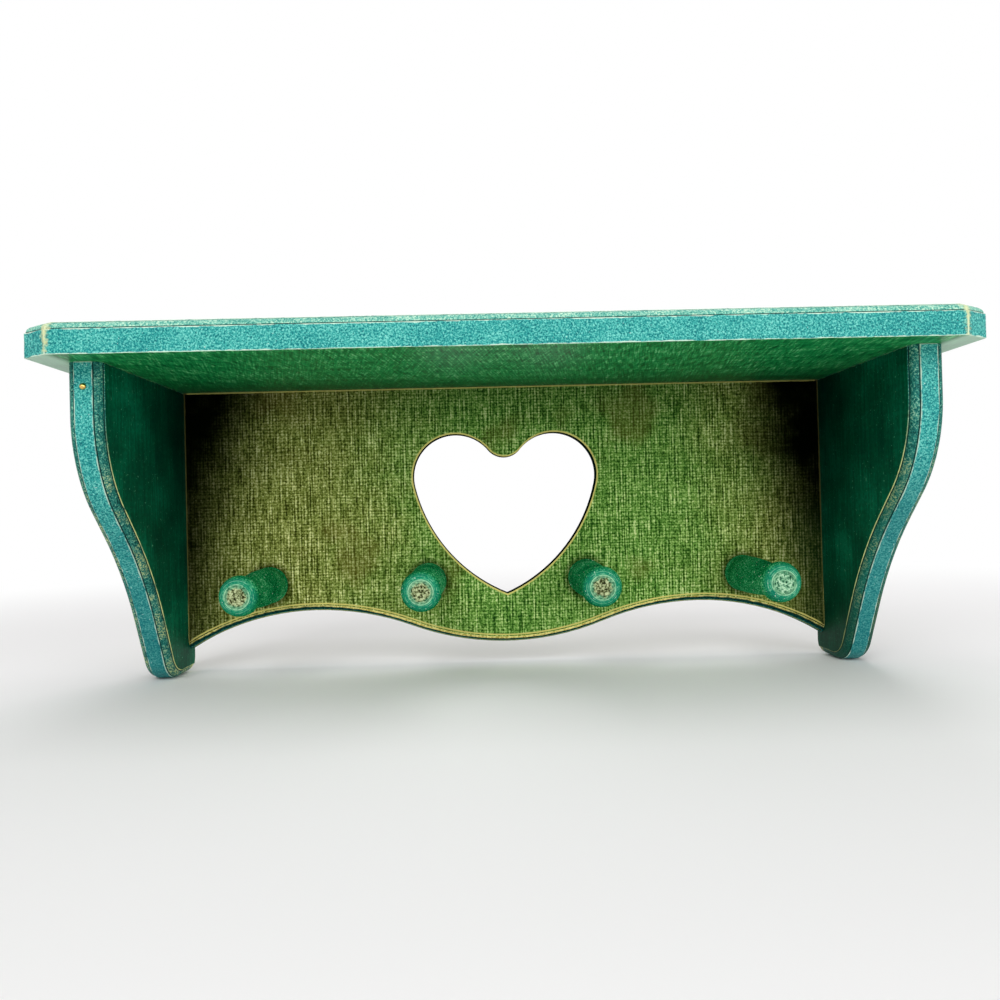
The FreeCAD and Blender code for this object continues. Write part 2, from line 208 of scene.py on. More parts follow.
class ShelfPaints(PropertyGroup):
    """Colours of the paint and of what shows through it."""

    teal: colour_property("Teal", "Paint on the front edges", tint(60, 170, 160))
    emerald: colour_property("Emerald", "Paint on the brackets' sides", tint(2, 90, 62))
    leaf: colour_property("Leaf green", "Paint on the board's two faces", tint(14, 126, 66))
    olive: colour_property("Olive", "Glaze on the back panel", tint(126, 138, 66))
    cream: colour_property("Cream", "Worn arrises of the board's edges", tint(206, 232, 212))
    straw: colour_property("Straw", "Bare wood and worn arrises", tint(216, 206, 118))
    brass: colour_property("Brass", "The small pin", tint(228, 190, 108))
    zinc: colour_property("Zinc", "Plated plates and screws", tint(168, 172, 174))


class ShelfStage(PropertyGroup):
    """Where the camera stands, what it looks through and the floor's colour."""

    camera_place: FloatVectorProperty(
        name="Camera place",
        description="Where the camera stands",
        default=(-0.01992, -0.58948, -0.05973),
        subtype="TRANSLATION",
        unit="LENGTH",
    )
    camera_turn: FloatVectorProperty(
        name="Camera turn",
        description="Turn of the camera",
        default=[math.radians(angle) for angle in (90.4835, 1.4084, -0.9165)],
        subtype="EULER",
    )
    focal_length: FloatProperty(
        name="Focal length", description="Millimetres, on a 36 mm sensor", default=28.08
    )
    lens_shift: FloatVectorProperty(
        name="Lens shift",
        description="Shift of the picture's middle, as shares of its width",
        default=(0.0088, 0.0012),
        size=2,
    )
    floor: colour_property("Floor", "Pale floor", (0.9, 0.89, 0.89))


def new_mesh():
    """Empty mesh with the marks that the finishes read from its points."""
    bm = bmesh.new()
    for name in ("worn", "crevice"):
        bm.verts.layers.float.new(name)
    return bm


def mark(bm, verts, name, value=1):
    """Sets a mark of points."""
    layer = bm.verts.layers.float[name]
    for vert in verts:
        vert[layer] = value


def only(kind, geometry):
    """The elements of one kind."""
    return [element for element in geometry if isinstance(element, kind)]


def arc_radius(run, rise):
    """Radius of an arc that starts along its run and has risen by the rise at its end."""
    return (run ** 2 + rise ** 2) / (2 * rise)


def row(low, high, radius, count):
    """Centres of equal rounds in a row whose outer rims lie at low and high."""
    first, last = low + radius, high - radius
    return [first + (last - first) * index / (count - 1) for index in range(count)]


def run_to(bm, last, place):
    """Draws a straight run to a place and returns its point."""
    vert = bm.verts.new(place)
    bm.edges.new((last, vert))
    return vert


def turn_about(bm, vert, centre, axis, angle):
    """Draws an arc from a point and returns the point at its end."""
    steps = max(2, math.ceil(abs(angle) / ARC_STEP))
    spun = bmesh.ops.spin(bm, geom=[vert], cent=centre, axis=axis, angle=angle, steps=steps)
    return only(BMVert, spun["geom_last"])[0]


def draw_outline(bm, corners, axis):
    """Draws a closed outline through corners (place, radius), rounded by tangent arcs."""
    before = set(bm.edges)
    first = last = None
    for index, (corner, radius) in enumerate(corners):
        met = (corner - corners[index - 1][0]).normalized()
        left_by = (corners[(index + 1) % len(corners)][0] - corner).normalized()
        turn = met.angle(left_by)
        way = math.copysign(1, met.cross(left_by).dot(axis))
        start = corner - met * radius * math.tan(turn / 2)
        last = run_to(bm, last, start) if last else bm.verts.new(start)
        first = first or last
        if radius > 0:
            centre = start + axis.cross(met) * radius * way
            last = turn_about(bm, last, centre, axis, turn * way)
    bm.edges.new((last, first))
    return [line for line in bm.edges if line not in before]


def raise_face(bm, face, shift):
    """Extrudes a face along the shift and returns the face that moved."""
    region = [face, *face.edges, *face.verts]
    extruded = bmesh.ops.extrude_face_region(bm, geom=region)["geom"]
    bmesh.ops.translate(bm, verts=only(BMVert, extruded), vec=shift)
    return only(BMFace, extruded)[0]


def face_towards(bm, way):
    """The largest of the faces that lie furthest along the way."""
    return max(
        bm.faces,
        key=lambda face: (round(face.calc_center_median().dot(way), 6), face.calc_area()),
    )


def bevel(bm, lines, width, segments):
    """Rounds edges off and returns the points that this makes."""
    made = bmesh.ops.bevel(
        bm,
        geom=lines,
        offset=width,
        offset_type="OFFSET",
        segments=segments,
        profile=0.5,
        affect="EDGES",
        material=-1,
        clamp_overlap=False,
    )
    return made["verts"]


def mould_slab(bm, outline, out, height, edge):
    """Raises an outline to a slab whose far rim has the routed edge."""
    face = bmesh.ops.contextual_create(bm, geom=outline)["faces"][0]
    face = raise_face(bm, face, out * (height - edge.radius - edge.step))
    bmesh.ops.inset_region(bm, faces=[face], thickness=edge.step, use_even_offset=True)
    face = raise_face(bm, face, out * edge.radius)
    bevel(bm, list(face.edges), edge.radius, ROUND_SEGMENTS)
    bmesh.ops.remove_doubles(bm, verts=bm.verts[:], dist=WELD)
    raise_face(bm, face_towards(bm, out), out * edge.step)


def trim(bm, place, outwards):
    """Cuts off what lies past a plane and closes the cut."""
    geometry = bm.verts[:] + bm.edges[:] + bm.faces[:]
    cut = bmesh.ops.bisect_plane(
        bm, geom=geometry, dist=ON_PLANE, plane_co=place, plane_no=outwards, clear_outer=True
    )
    bmesh.ops.edgeloop_fill(bm, edges=only(BMEdge, cut["geom_cut"]))


def part_off(bm, face, loops):
    """Draws closed loops of edges on a face and returns the faces inside them."""
    lines = list(face.edges)
    bmesh.ops.delete(bm, geom=[face], context="FACES_ONLY")
    for loop in loops:
        lines += loop
    bmesh.ops.triangle_fill(bm, edges=lines, use_beauty=True)
    return [bmesh.ops.edgeloop_fill(bm, edges=loop)["faces"][0] for loop in loops]


def sink(bm, face, rim, shift):
    """Sinks a well into a face, inside a rim, and returns the well's floor."""
    bmesh.ops.inset_region(bm, faces=[face], thickness=rim, use_even_offset=True)
    mark(bm, face.verts, "crevice")
    return raise_face(bm, face, shift)


def ring(bm, centre, axis, radius):
    """Circle of edges about an axis."""
    before = set(bm.edges)
    turned = axis.to_track_quat("Z", "Y").to_matrix().to_4x4()
    matrix = Matrix.Translation(centre) @ turned
    bmesh.ops.create_circle(bm, segments=BORE_SEGMENTS, radius=radius, matrix=matrix)
    return [line for line in bm.edges if line not in before]


def outermost(bm, way):
    """Flat faces at the mesh's outermost place along the way."""
    reach = max(vert.co.dot(way) for vert in bm.verts) - NEAR
    return [
        face for face in bm.faces
        if face.normal.dot(way) > FLAT and face.calc_center_median().dot(way) > reach
    ]


def cut_edges(bm, out, low, high):
    """Faces cut square to a slab's faces, between two heights along its thickness."""
    return [
        face for face in bm.faces
        if abs(face.normal.dot(out)) < BESIDE
        and low < face.calc_center_median().dot(out) < high
    ]


def score(bm, belongs, place, way):
    """Marks a line across the faces that belong, so that the wear of an arris ends there."""
    faces = [face for face in bm.faces if belongs(face)]
    region = {part for face in faces for part in (face, *face.edges, *face.verts)}
    bmesh.ops.bisect_plane(bm, geom=list(region), dist=ON_PLANE, plane_co=place, plane_no=way)


def patches(faces):
    """Faces in groups that sharp arrises part from each other."""
    left = set(faces)
    while left:
        patch, edge_of_patch = set(), [left.pop()]
        while edge_of_patch:
            face = edge_of_patch.pop()
            patch.add(face)
            for line in face.edges:
                if line.is_manifold and abs(line.calc_face_angle_signed()) < SHARP_TURN:
                    near = [other for other in line.link_faces if other in left]
                    left.difference_update(near)
                    edge_of_patch += near
        yield list(patch)


def wear(bm, edge, faces):
    """Sands the arrises and marks how far their wear spreads over the faces."""
    for patch in patches(faces):
        bmesh.ops.inset_region(bm, faces=patch, thickness=edge.worn_width, use_even_offset=True)
    arrises = []
    for line in bm.edges:
        turn = line.calc_face_angle_signed()
        if turn > SHARP_TURN:
            arrises.append(line)
        elif turn < -SHARP_TURN:
            mark(bm, line.verts, "crevice")
    soften(bm, edge, arrises)


def soften(bm, edge, arrises):
    """Sands arrises off and marks them as worn."""
    sanded = bevel(bm, arrises, edge.softening, 2)
    mark(bm, sanded, "worn")
    mark(bm, sanded, "crevice", 0)


def finish_piece(bm, name, node, slot, zone, shelf, *finishes):
    """Turns the mesh into the piece that stands for a node, its faces painted by zone."""
    bmesh.ops.recalc_face_normals(bm, faces=bm.faces[:])
    for face in bm.faces:
        face.smooth = True
        face.material_index = zone(face)
    mesh = bpy.data.meshes.new(name)
    bm.to_mesh(mesh)
    bm.free()
    mesh.set_sharp_from_angle(angle=SMOOTH_TURN)
    for finish in finishes:
        mesh.materials.append(finish_named(finish, shelf))
    piece = bpy.data.objects.new(name, mesh)
    bpy.context.collection.objects.link(piece)
    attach(piece, "root")
    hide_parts(node)


class Nodes:
    """The node tree of a material or a world, its nodes added by short calls."""

    def __init__(self, owner):
        owner.use_nodes = True
        self.nodes = owner.node_tree.nodes
        self.links = owner.node_tree.links

    def put(self, socket, value):
        """Sets a socket, or links it."""
        if isinstance(value, bpy.types.NodeSocket):
            self.links.new(value, socket)
        elif socket.type == "RGBA" and len(value) == 3:
            socket.default_value = (*value, 1)
        else:
            socket.default_value = value

    def add(self, kind, inputs, **settings):
        """Adds a node; inputs maps its sockets' names or numbers to values."""
        node = self.nodes.new(kind)
        for key, value in settings.items():
            setattr(node, key, value)
        for key, value in inputs.items():
            self.put(node.inputs[key], value)
        return node

    def math(self, operation, *values, **settings):
        """Arithmetic on one, two or three values."""
        inputs = dict(enumerate(values))
        return self.add("ShaderNodeMath", inputs, operation=operation, **settings).outputs[0]

    def times(self, first, *others):
        """Product of the values."""
        for other in others:
            first = self.math("MULTIPLY", first, other)
        return first

    def larger(self, first, second):
        """The larger of two values."""
        return self.math("MAXIMUM", first, second)

    def rest_of(self, share):
        """What a share leaves of 1."""
        return self.math("SUBTRACT", 1, share)

    def seen_directly(self):
        """1 where the camera sees the surface, also by a reflection or through glass."""
        path = self.add("ShaderNodeLightPath", {}).outputs
        mirrored = self.larger(path["Is Glossy Ray"], path["Is Transmission Ray"])
        return self.larger(path["Is Camera Ray"], mirrored)


class Finish(Nodes):
    """A surface's material, its colour laid on coat by coat.

    Patterns read Object coordinates in metres, so a scale is one over a size.
    """

    def __init__(self, name):
        self.material = bpy.data.materials.new(name)
        super().__init__(self.material)
        self.shader = self.nodes["Principled BSDF"]
        self.place = self.add("ShaderNodeTexCoord", {}).outputs["Object"]
        self.x, self.y, self.z = self.add("ShaderNodeSeparateXYZ", {0: self.place}).outputs
        self.colour = None

    def noise(self, scale, detail=3, roughness=0.6, turn=(0, 0, 0), distortion=0):
        """Cloudy noise, about 0.5, its scale the same each way or given for each axis."""
        if isinstance(scale, (int, float)):
            scale = (scale,) * 3
        place = self.place
        if any(turn):
            place = self.add("ShaderNodeMapping", {"Vector": place, "Rotation": turn}).outputs[0]
        place = self.add("ShaderNodeMapping", {"Vector": place, "Scale": scale}).outputs[0]
        inputs = {"Vector": place, "Scale": 1, "Detail": detail, "Roughness": roughness}
        return self.add("ShaderNodeTexNoise", {**inputs, "Distortion": distortion}).outputs[0]

    def stipple(self, scale=900):
        """Worm-like stipple of a sponged paint."""
        return self.noise(scale, 2, 0.7, distortion=0.5)

    def blend(self, *parts):
        """Sum of (value, share) pairs."""
        total = 0.0
        for value, share in parts:
            total = self.math("MULTIPLY_ADD", value, share, total)
        return total

    def fade(self, value, low, high, top=1.0):
        """Rises smoothly from 0 to the top as the value goes from low to high."""
        inputs = {"Value": value, "From Min": low, "From Max": high, "To Max": top}
        return self.add("ShaderNodeMapRange", inputs, interpolation_type="SMOOTHSTEP").outputs[0]

    def mark(self, name):
        """A mark of the mesh's points, from 0 to 1."""
        return self.add("ShaderNodeAttribute", {}, attribute_name=name).outputs["Fac"]

    def aside(self, middle=0.0):
        """Distance to the left or right of a middle."""
        return self.math("ABSOLUTE", self.math("SUBTRACT", self.x, middle))

    def facing(self, axis):
        """One part of the surface's direction."""
        normal = self.add("ShaderNodeNewGeometry", {}).outputs["Normal"]
        return self.add("ShaderNodeSeparateXYZ", {0: normal}).outputs[axis]

    def flecks(self, scale, low, high):
        """Sparse irregular flecks, where fine noise is high."""
        return self.fade(self.noise(scale, 1, 0.5), low, high)

    def ragged(self, value, amount, scale):
        """A value whose border is made ragged by noise."""
        return self.blend((self.noise(scale, 4, 0.65), amount), (value, 1), (-amount / 2, 1))

    def rubbed(self, low, high, amount=1.4, scale=170):
        """Where wear has rubbed the arrises."""
        return self.fade(self.ragged(self.mark("worn"), amount, scale), low, high)

    def crease_shade(self, low=0.2, high=0.6):
        """Painted shade in the inner corners of the mouldings, where the mesh marks a crevice."""
        return self.fade(self.ragged(self.mark("crevice"), 0.5, 300), low, high)

    def from_peg_axis(self):
        """Distance from the axis of the nearest peg."""
        middle = peg_centre(3)  # the first to the right of the shelf's middle
        across = self.math("WRAP", self.x, 2 * middle.x, 0)
        across = self.math("SUBTRACT", across, middle.x)
        above = self.math("SUBTRACT", self.z, middle.z)
        squares = self.times(across, across), self.times(above, above)
        return self.math("SQRT", self.math("ADD", *squares))

    def turned_rings(self):
        """Rings about the axis of the nearest peg, as turning leaves them."""
        inputs = {"W": self.times(self.from_peg_axis(), 1500), "Scale": 1, "Detail": 1}
        return self.add("ShaderNodeTexNoise", inputs, noise_dimensions="1D").outputs[0]

    def ramp(self, value, *stops):
        """Colour picked along stops of (value, colour)."""
        node = self.add("ShaderNodeValToRGB", {0: value})
        elements = node.color_ramp.elements
        while len(elements) < len(stops):
            elements.new(0.5)
        for element, (position, colour) in zip(elements, stops):
            element.position = position
            element.color = (*colour, 1)
        return node.outputs["Color"]

    def mix(self, share, first, second):
        """Colour between two others."""
        inputs = {0: share, 6: first, 7: second}
        return self.add("ShaderNodeMix", inputs, data_type="RGBA").outputs[2]

    def ground(self, value, *stops):
        """Starts the colour with a ramp."""
        self.colour = self.ramp(value, *stops)

    def coat(self, share, colour):
        """Lays a colour over what is there."""
        self.colour = self.mix(share, self.colour, colour)

    def close(self, roughness, height=None, depth=0.0002, strength=0.4, gloss=0.5):
        """Joins the colour, the roughness and the relief to the shader."""
        self.put(self.shader.inputs["Base Color"], self.colour)
        self.put(self.shader.inputs["Roughness"], roughness)
        self.put(self.shader.inputs["Specular IOR Level"], gloss)
        if height is not None:
            inputs = {"Height": height, "Distance": depth, "Strength": strength}
            bump = self.add("ShaderNodeBump", inputs)
            self.put(self.shader.inputs["Normal"], bump.outputs[0])


def corner_wear(paint, shelf):
    """Ragged wear down the arrises of the board's cut corners, widest at the top."""
    arris = BOARD_HIGH.x - shelf.edge.corner_width
    away = paint.math("ABSOLUTE", paint.math("SUBTRACT", paint.aside(), arris))
    away = paint.blend((paint.z, -0.12), (away, 1), (0.0054, 1))
    front = paint.fade(paint.y, -0.152, -0.156, 0.72)
    return paint.times(paint.fade(paint.ragged(away, 0.01, 420), 0.0036, 0.0006), front)


def right_foot_shade(paint, high, low, top):
    """Share of painted shade that grows down the right bracket, from one height to another."""
    return paint.times(paint.fade(paint.z, high, low, top), paint.fade(paint.x, 0.0, 0.1))


def off_joints(paint):
    """1 on the panel, and less along its joints with the brackets and the board."""
    ends = paint.fade(paint.aside(), PANEL_HIGH.x - 0.004, PANEL_HIGH.x - 0.0015, 0.88)
    top = paint.fade(paint.z, PANEL_HIGH.z - 0.0035, PANEL_HIGH.z - 0.0015, 0.4)
    return paint.rest_of(paint.larger(ends, top))


def teal_edge_paint(paint, shelf):
    """Stippled teal on the front edges, darker towards the feet, with painted shade down the right
    bracket.
    """
    stipple = paint.stipple()
    paint.ground(
        paint.blend((stipple, 1), (paint.noise(45), 0.2)),
        (0.45, tint(14, 106, 110)), (0.55, tint(28, 138, 138)), (0.63, shelf.paints.teal),
        (0.74, tint(120, 208, 196)),
    )
    # Darker towards the feet; down the right bracket the darkening is painted shade
    foot_shade = right_foot_shade(paint, -0.01, -0.08, 0.5)
    low = paint.larger(foot_shade, paint.fade(paint.z, -0.04, -0.15, 0.6))
    paint.coat(low, tint(20, 104, 110))
    paint.coat(paint.flecks(700, 0.72, 0.8), tint(196, 232, 220))
    # painted shade in the creases
    paint.coat(paint.crease_shade(0.1, 0.45), tint(8, 70, 68))
    worn = paint.blend((paint.fade(paint.z, 0.0, 0.03), 0.2), (0.75, 1))
    paint.coat(paint.times(worn, paint.rubbed(0.78, 1.06, 1.6, 140)), shelf.paints.cream)
    paint.coat(corner_wear(paint, shelf), tint(220, 218, 158))
    paint.close(0.5, stipple, 0.0002, 0.5, gloss=0.14)


def routed_edge_paint(paint, shelf):
    """Pale speckle on the board's quarter round; darker and rubbed lower on the brackets, with
    painted shade down the right one.
    """
    stipple, clouds = paint.stipple(), paint.noise(50)
    tone = paint.blend((stipple, 1), (clouds, 0.3))
    paint.ground(
        tone,
        (0.5, tint(6, 60, 58)), (0.62, tint(22, 108, 100)), (0.72, tint(52, 138, 122)),
        (0.84, tint(150, 200, 170)),
    )
    on_board = paint.fade(paint.z, BOARD_LOW.z + 0.004, BOARD_LOW.z + 0.01)
    pale = paint.ramp(
        tone,
        (0.5, tint(50, 138, 126)), (0.64, tint(112, 192, 172)), (0.8, tint(196, 230, 204)),
    )
    paint.coat(paint.times(on_board, 0.9), pale)
    specks = paint.times(paint.fade(clouds, 0.46, 0.6), paint.fade(stipple, 0.46, 0.58))
    paint.coat(paint.times(specks, paint.fade(paint.z, 0.0, -0.07, 0.5)), shelf.paints.straw)
    # painted shade down the right bracket
    paint.coat(right_foot_shade(paint, 0.0, -0.08, 0.5), tint(8, 96, 76))
    # painted shade in the creases
    paint.coat(paint.crease_shade(0.1, 0.45), tint(6, 50, 46))
    worn = paint.larger(paint.fade(paint.z, 0.0, -0.05), on_board)
    pale = paint.mix(on_board, tint(218, 222, 150), shelf.paints.cream)
    paint.coat(paint.times(worn, paint.rubbed(0.66, 1.0, 1.6, 140)), pale)
    # painted shade low on the right bracket
    paint.coat(right_foot_shade(paint, -0.1, -0.15, 0.65), tint(4, 58, 38))
    paint.coat(corner_wear(paint, shelf), tint(220, 220, 166))
    paint.close(0.5, stipple, 0.0002, 0.5, gloss=0.14)


def emerald_side_paint(paint, shelf):
    """Deep emerald, brushed up and down, with painted shade in the niche's upper corners and low
    on the right bracket.
    """
    strokes = paint.noise((520, 520, 26))
    paint.ground(
        paint.blend((strokes, 0.35), (paint.noise(26, 2), 0.4), (paint.noise(400, 2), 0.25)),
        (0.4, tint(0, 68, 48)), (0.5, shelf.paints.emerald), (0.62, tint(8, 122, 88)),
    )
    paint.coat(paint.flecks(700, 0.71, 0.77), tint(100, 172, 134))
    # painted shade: the inner faces darker towards the niche's upper back corner, and on the right
    # bracket
    inward = paint.fade(paint.times(paint.x, paint.facing(0)), 0.05, -0.05)
    niche_shade = paint.times(paint.fade(paint.y, -0.13, -0.01, 0.85), paint.fade(paint.z, -0.16, 0.02))
    niche_shade = paint.larger(niche_shade, paint.fade(paint.x, 0.1, 0.2, 0.2))
    paint.coat(paint.times(niche_shade, inward), tint(0, 10, 12))
    # painted shade in the creases
    paint.coat(paint.crease_shade(), tint(2, 26, 18))
    joint = paint.fade(paint.z, BOARD_LOW.z - 0.0015, BOARD_LOW.z - 0.0005, 0.6)
    worn = paint.larger(paint.fade(paint.z, 0.0, -0.05), joint)
    paint.coat(paint.times(paint.rubbed(0.7, 1.1, 1.5, 140), worn), tint(150, 184, 118))
    # painted shade low on the right bracket's sides
    paint.coat(right_foot_shade(paint, -0.09, -0.15, 0.6), tint(2, 46, 27))
    paint.close(0.42, strokes, 0.0001, 0.25, gloss=0.04)


def brushed_board_paint(paint, shelf):
    """Leaf green, brushed along the board's top and hatched from front to back under it, with
    painted shade under it towards the back and a painted sheen outside the brackets.
    """
    along = paint.noise((18, 340, 18), 4)
    grain = paint.blend((along, 0.65), (paint.noise((50, 1500, 50), 2), 0.35))
    dark, light = tint(6, 92, 52), tint(44, 150, 92)
    paint.ground(grain, (0.38, dark), (0.5, shelf.paints.leaf), (0.62, light))
    hatch = [paint.noise((900, 50, 900), 2, turn=(0, 0, math.radians(turn))) for turn in (10, -14)]
    below = paint.ramp(
        paint.blend((along, 0.24), (hatch[0], 0.42), (hatch[1], 0.34)),
        (0.4, tint(2, 80, 38)), (0.48, shelf.paints.leaf), (0.54, tint(34, 156, 84)),
        (0.62, tint(130, 210, 146)),
    )
    below = paint.mix(paint.flecks((170, 130, 170), 0.76, 0.79), below, tint(160, 214, 158))
    # painted sheen: the underside paler outside the brackets
    below = paint.mix(paint.fade(paint.aside(), 0.25, 0.258, 0.75), below, tint(190, 222, 200))
    # painted shade: the underside darker towards the back
    below = paint.mix(paint.fade(paint.y, -0.09, 0.0, 0.65), below, tint(2, 44, 20))
    paint.coat(paint.fade(paint.facing(2), 0.0, -0.5), below)
    # painted shade in the creases
    paint.coat(paint.crease_shade(), tint(6, 40, 24))
    paint.coat(paint.rubbed(0.75, 1.1, 1.8, 90), shelf.paints.cream)
    paint.close(0.4, along, gloss=0.1)


def linen_panel_glaze(paint, shelf):
    """Olive glaze dragged up and across on the panel's front, like linen, with painted shade in
    its upper corners, under the board, along its ends and about the pegs.
    """
    warp = paint.math("SINE", paint.blend((paint.x, 2900), (paint.noise((160, 1, 9), 2), 16)))
    weft = paint.math("SINE", paint.blend((paint.z, 2700), (paint.noise((9, 1, 160), 2), 16)))
    threads, grain = paint.noise((700, 1, 45), 1), paint.noise(800, 1)
    weave = paint.blend((warp, 0.028), (weft, 0.021), (threads, 0.26), (grain, 0.28), (0.23, 1))
    paint.ground(
        weave,
        (0.41, tint(48, 54, 18)), (0.46, tint(90, 100, 38)), (0.5, shelf.paints.olive),
        (0.54, tint(162, 170, 92)), (0.61, tint(230, 232, 168)),
    )
    green = paint.ramp(
        weave,
        (0.41, tint(26, 62, 18)), (0.46, tint(62, 106, 38)), (0.5, tint(98, 146, 62)),
        (0.54, tint(136, 178, 88)), (0.61, tint(214, 230, 160)),
    )
    paint.coat(paint.fade(paint.ragged(paint.aside(0.045), 0.12, 20), 0.2, 0.05), green)
    paint.coat(paint.fade(paint.noise(16, 2), 0.54, 0.7, 0.4), tint(100, 84, 34))
    # painted shade: darker in the upper corners, under the board, along the ends by the brackets
    # and about the pegs; low on the right end the shade is dark green rather than near black
    corner = paint.ragged(paint.blend((paint.aside(), 1), (paint.z, 0.4)), 0.03, 30)
    top = paint.fade(paint.z, -0.02, 0.034, 0.45)
    shade = paint.larger(paint.fade(corner, 0.14, 0.222), top)
    ends = paint.fade(paint.aside(), 0.19, 0.235, 0.6)
    shade = paint.math("ADD", paint.times(shade, paint.rest_of(ends)), ends)
    shade = paint.larger(shade, paint.fade(paint.from_peg_axis(), 0.019, 0.013, 0.6))
    leafy = paint.times(paint.fade(paint.x, 0.18, 0.22), paint.fade(paint.z, -0.05, -0.1))
    dark = paint.mix(leafy, tint(2, 5, 1), tint(0, 34, 12))
    paint.coat(paint.ragged(shade, 0.12, 30), dark)
    paint.coat(paint.times(paint.rubbed(0.2, 0.6, 0.7), off_joints(paint)), shelf.paints.straw)
    paint.close(0.55, weave, 0.0003, 0.6, gloss=0)


def panel_edge_paint(paint, shelf):
    """Dark teal on the panel's cut edges, with painted shade near black in the heart and just
    behind the front arris; straw under the lobe.
    """
    stipple = paint.stipple(700)
    paint.ground(
        stipple, (0.38, tint(6, 56, 52)), (0.52, tint(32, 114, 106)), (0.68, tint(78, 154, 138))
    )
    # painted shade: near black inside the heart
    middle = paint.fade(paint.aside(), 0.16, 0.06)
    paint.coat(paint.times(middle, paint.fade(paint.z, -0.13, -0.122, 0.96)), tint(1, 8, 5))
    # painted shade just behind the front arris
    paint.coat(paint.fade(paint.y, -0.0101, -0.0107, 0.8), tint(2, 30, 24))
    # painted shade in the creases
    paint.coat(paint.crease_shade(), tint(2, 20, 16))
    front = paint.ragged(paint.blend((middle, -0.0005), (paint.y, 1)), 0.001, 160)
    rubbed = paint.times(paint.fade(front, -0.0118, -0.0122), paint.fade(paint.z, -0.12, -0.132))
    pale = paint.mix(paint.fade(stipple, 0.38, 0.56), tint(186, 170, 78), tint(244, 232, 146))
    paint.coat(rubbed, pale)
    arris = paint.times(paint.rubbed(0.45, 0.8), paint.fade(paint.y, -0.0115, -0.012))
    paint.coat(paint.times(arris, off_joints(paint)), shelf.paints.straw)
    paint.close(0.55, stipple, 0.00015, gloss=0)


def peg_paint(paint, shelf):
    """Emerald and teal on the turned pegs, with pale flecks that also serve as painted glints."""
    stipple = paint.stipple()
    paint.ground(
        paint.blend((stipple, 1), (paint.noise(55, 2), 0.4)),
        (0.54, tint(0, 70, 38)), (0.68, tint(10, 118, 64)), (0.8, tint(44, 156, 92)),
        (0.92, tint(124, 208, 150)),
    )
    paint.coat(paint.fade(paint.y, -0.087, -0.0918, 0.5), tint(40, 150, 128))
    rings = paint.fade(paint.turned_rings(), 0.57, 0.66, 0.7)
    broken = paint.fade(paint.noise(240, 2), 0.42, 0.62)
    tip = paint.fade(paint.y, -0.0885, -0.09)
    paint.coat(paint.times(rings, tip, broken), tint(134, 204, 168))
    # pale flecks, which also stand in for glints: painted highlights
    paint.coat(paint.flecks(760, 0.7, 0.76), tint(190, 226, 200))
    # painted shade in the creases
    paint.coat(paint.crease_shade(), tint(2, 40, 26))
    paint.coat(paint.rubbed(0.7, 1.1, 1.5, 240), tint(150, 206, 164))
    paint.close(0.45, stipple, 0.00015, gloss=0)


def peg_end_grain(paint, shelf):
    """Rough end grain showing through thin paint on the pegs' tips, greener to the right."""
    pores = paint.noise(620, 2, 0.8)
    paint.ground(
        pores, (0.36, tint(22, 88, 60)), (0.5, tint(70, 140, 102)), (0.66, tint(140, 194, 150))
    )
    rings = paint.fade(paint.turned_rings(), 0.5, 0.62, 0.9)
    broken = paint.fade(paint.noise(240, 2), 0.36, 0.56)
    paint.coat(paint.times(rings, broken), tint(168, 210, 172))
    wood = paint.ramp(
        pores,
        (0.36, tint(30, 34, 16)), (0.44, tint(84, 90, 52)), (0.5, tint(138, 150, 104)),
        (0.62, tint(196, 206, 160)),
    )
    green = paint.ramp(
        pores,
        (0.36, tint(6, 56, 40)), (0.45, tint(52, 132, 98)), (0.52, tint(126, 192, 152)),
        (0.64, tint(198, 238, 206)),
    )
    wood = paint.mix(paint.fade(paint.x, 0.08, 0.15, 0.8), wood, green)
    paint.coat(paint.fade(paint.ragged(paint.mark("crevice"), 0.9, 260), 0.04, 0.32), wood)
    paint.coat(paint.rubbed(0.7, 1.1, 1.5, 240), tint(160, 206, 170))
    paint.close(0.7, pores, 0.0006, 0.9, gloss=0.05)


def washed_back_wood(paint, shelf):
    """Thin green wash over bare wood on the backs, and the tenons' bare end grain."""
    along = paint.blend((paint.noise((6, 60, 200), 4), 0.5), (paint.noise((22, 60, 1300)), 0.5))
    upright = paint.blend((paint.noise((200, 60, 6), 4), 0.5), (paint.noise((1300, 60, 22)), 0.5))
    on_board = paint.fade(paint.z, BOARD_LOW.z - 0.0002, BOARD_LOW.z + 0.0002)
    on_bracket = paint.fade(paint.aside(), PANEL_HIGH.x - 0.0002, PANEL_HIGH.x + 0.0002)
    on_bracket = paint.times(on_bracket, paint.rest_of(on_board))
    turned = paint.times(paint.math("SUBTRACT", upright, along), on_bracket)
    grain = paint.blend((turned, 1), (on_board, -0.03), (along, 1))
    paint.ground(
        grain, (0.38, tint(98, 112, 74)), (0.5, tint(134, 140, 98)), (0.62, tint(168, 164, 120))
    )
    radius = paint.from_peg_axis()
    bore = shelf.peg.tenon + 0.00025
    end_grain = paint.ramp(
        paint.noise(900, 2), (0.36, tint(58, 60, 36)), (0.62, tint(138, 132, 92))
    )
    paint.coat(paint.fade(radius, bore, bore - 0.0004), end_grain)
    off_bore = paint.math("ABSOLUTE", paint.math("SUBTRACT", radius, bore))
    paint.coat(paint.fade(off_bore, 0.0006, 0.0001, 0.8), tint(30, 40, 24))
    paint.close(0.65, grain, strength=0.3, gloss=0.2)


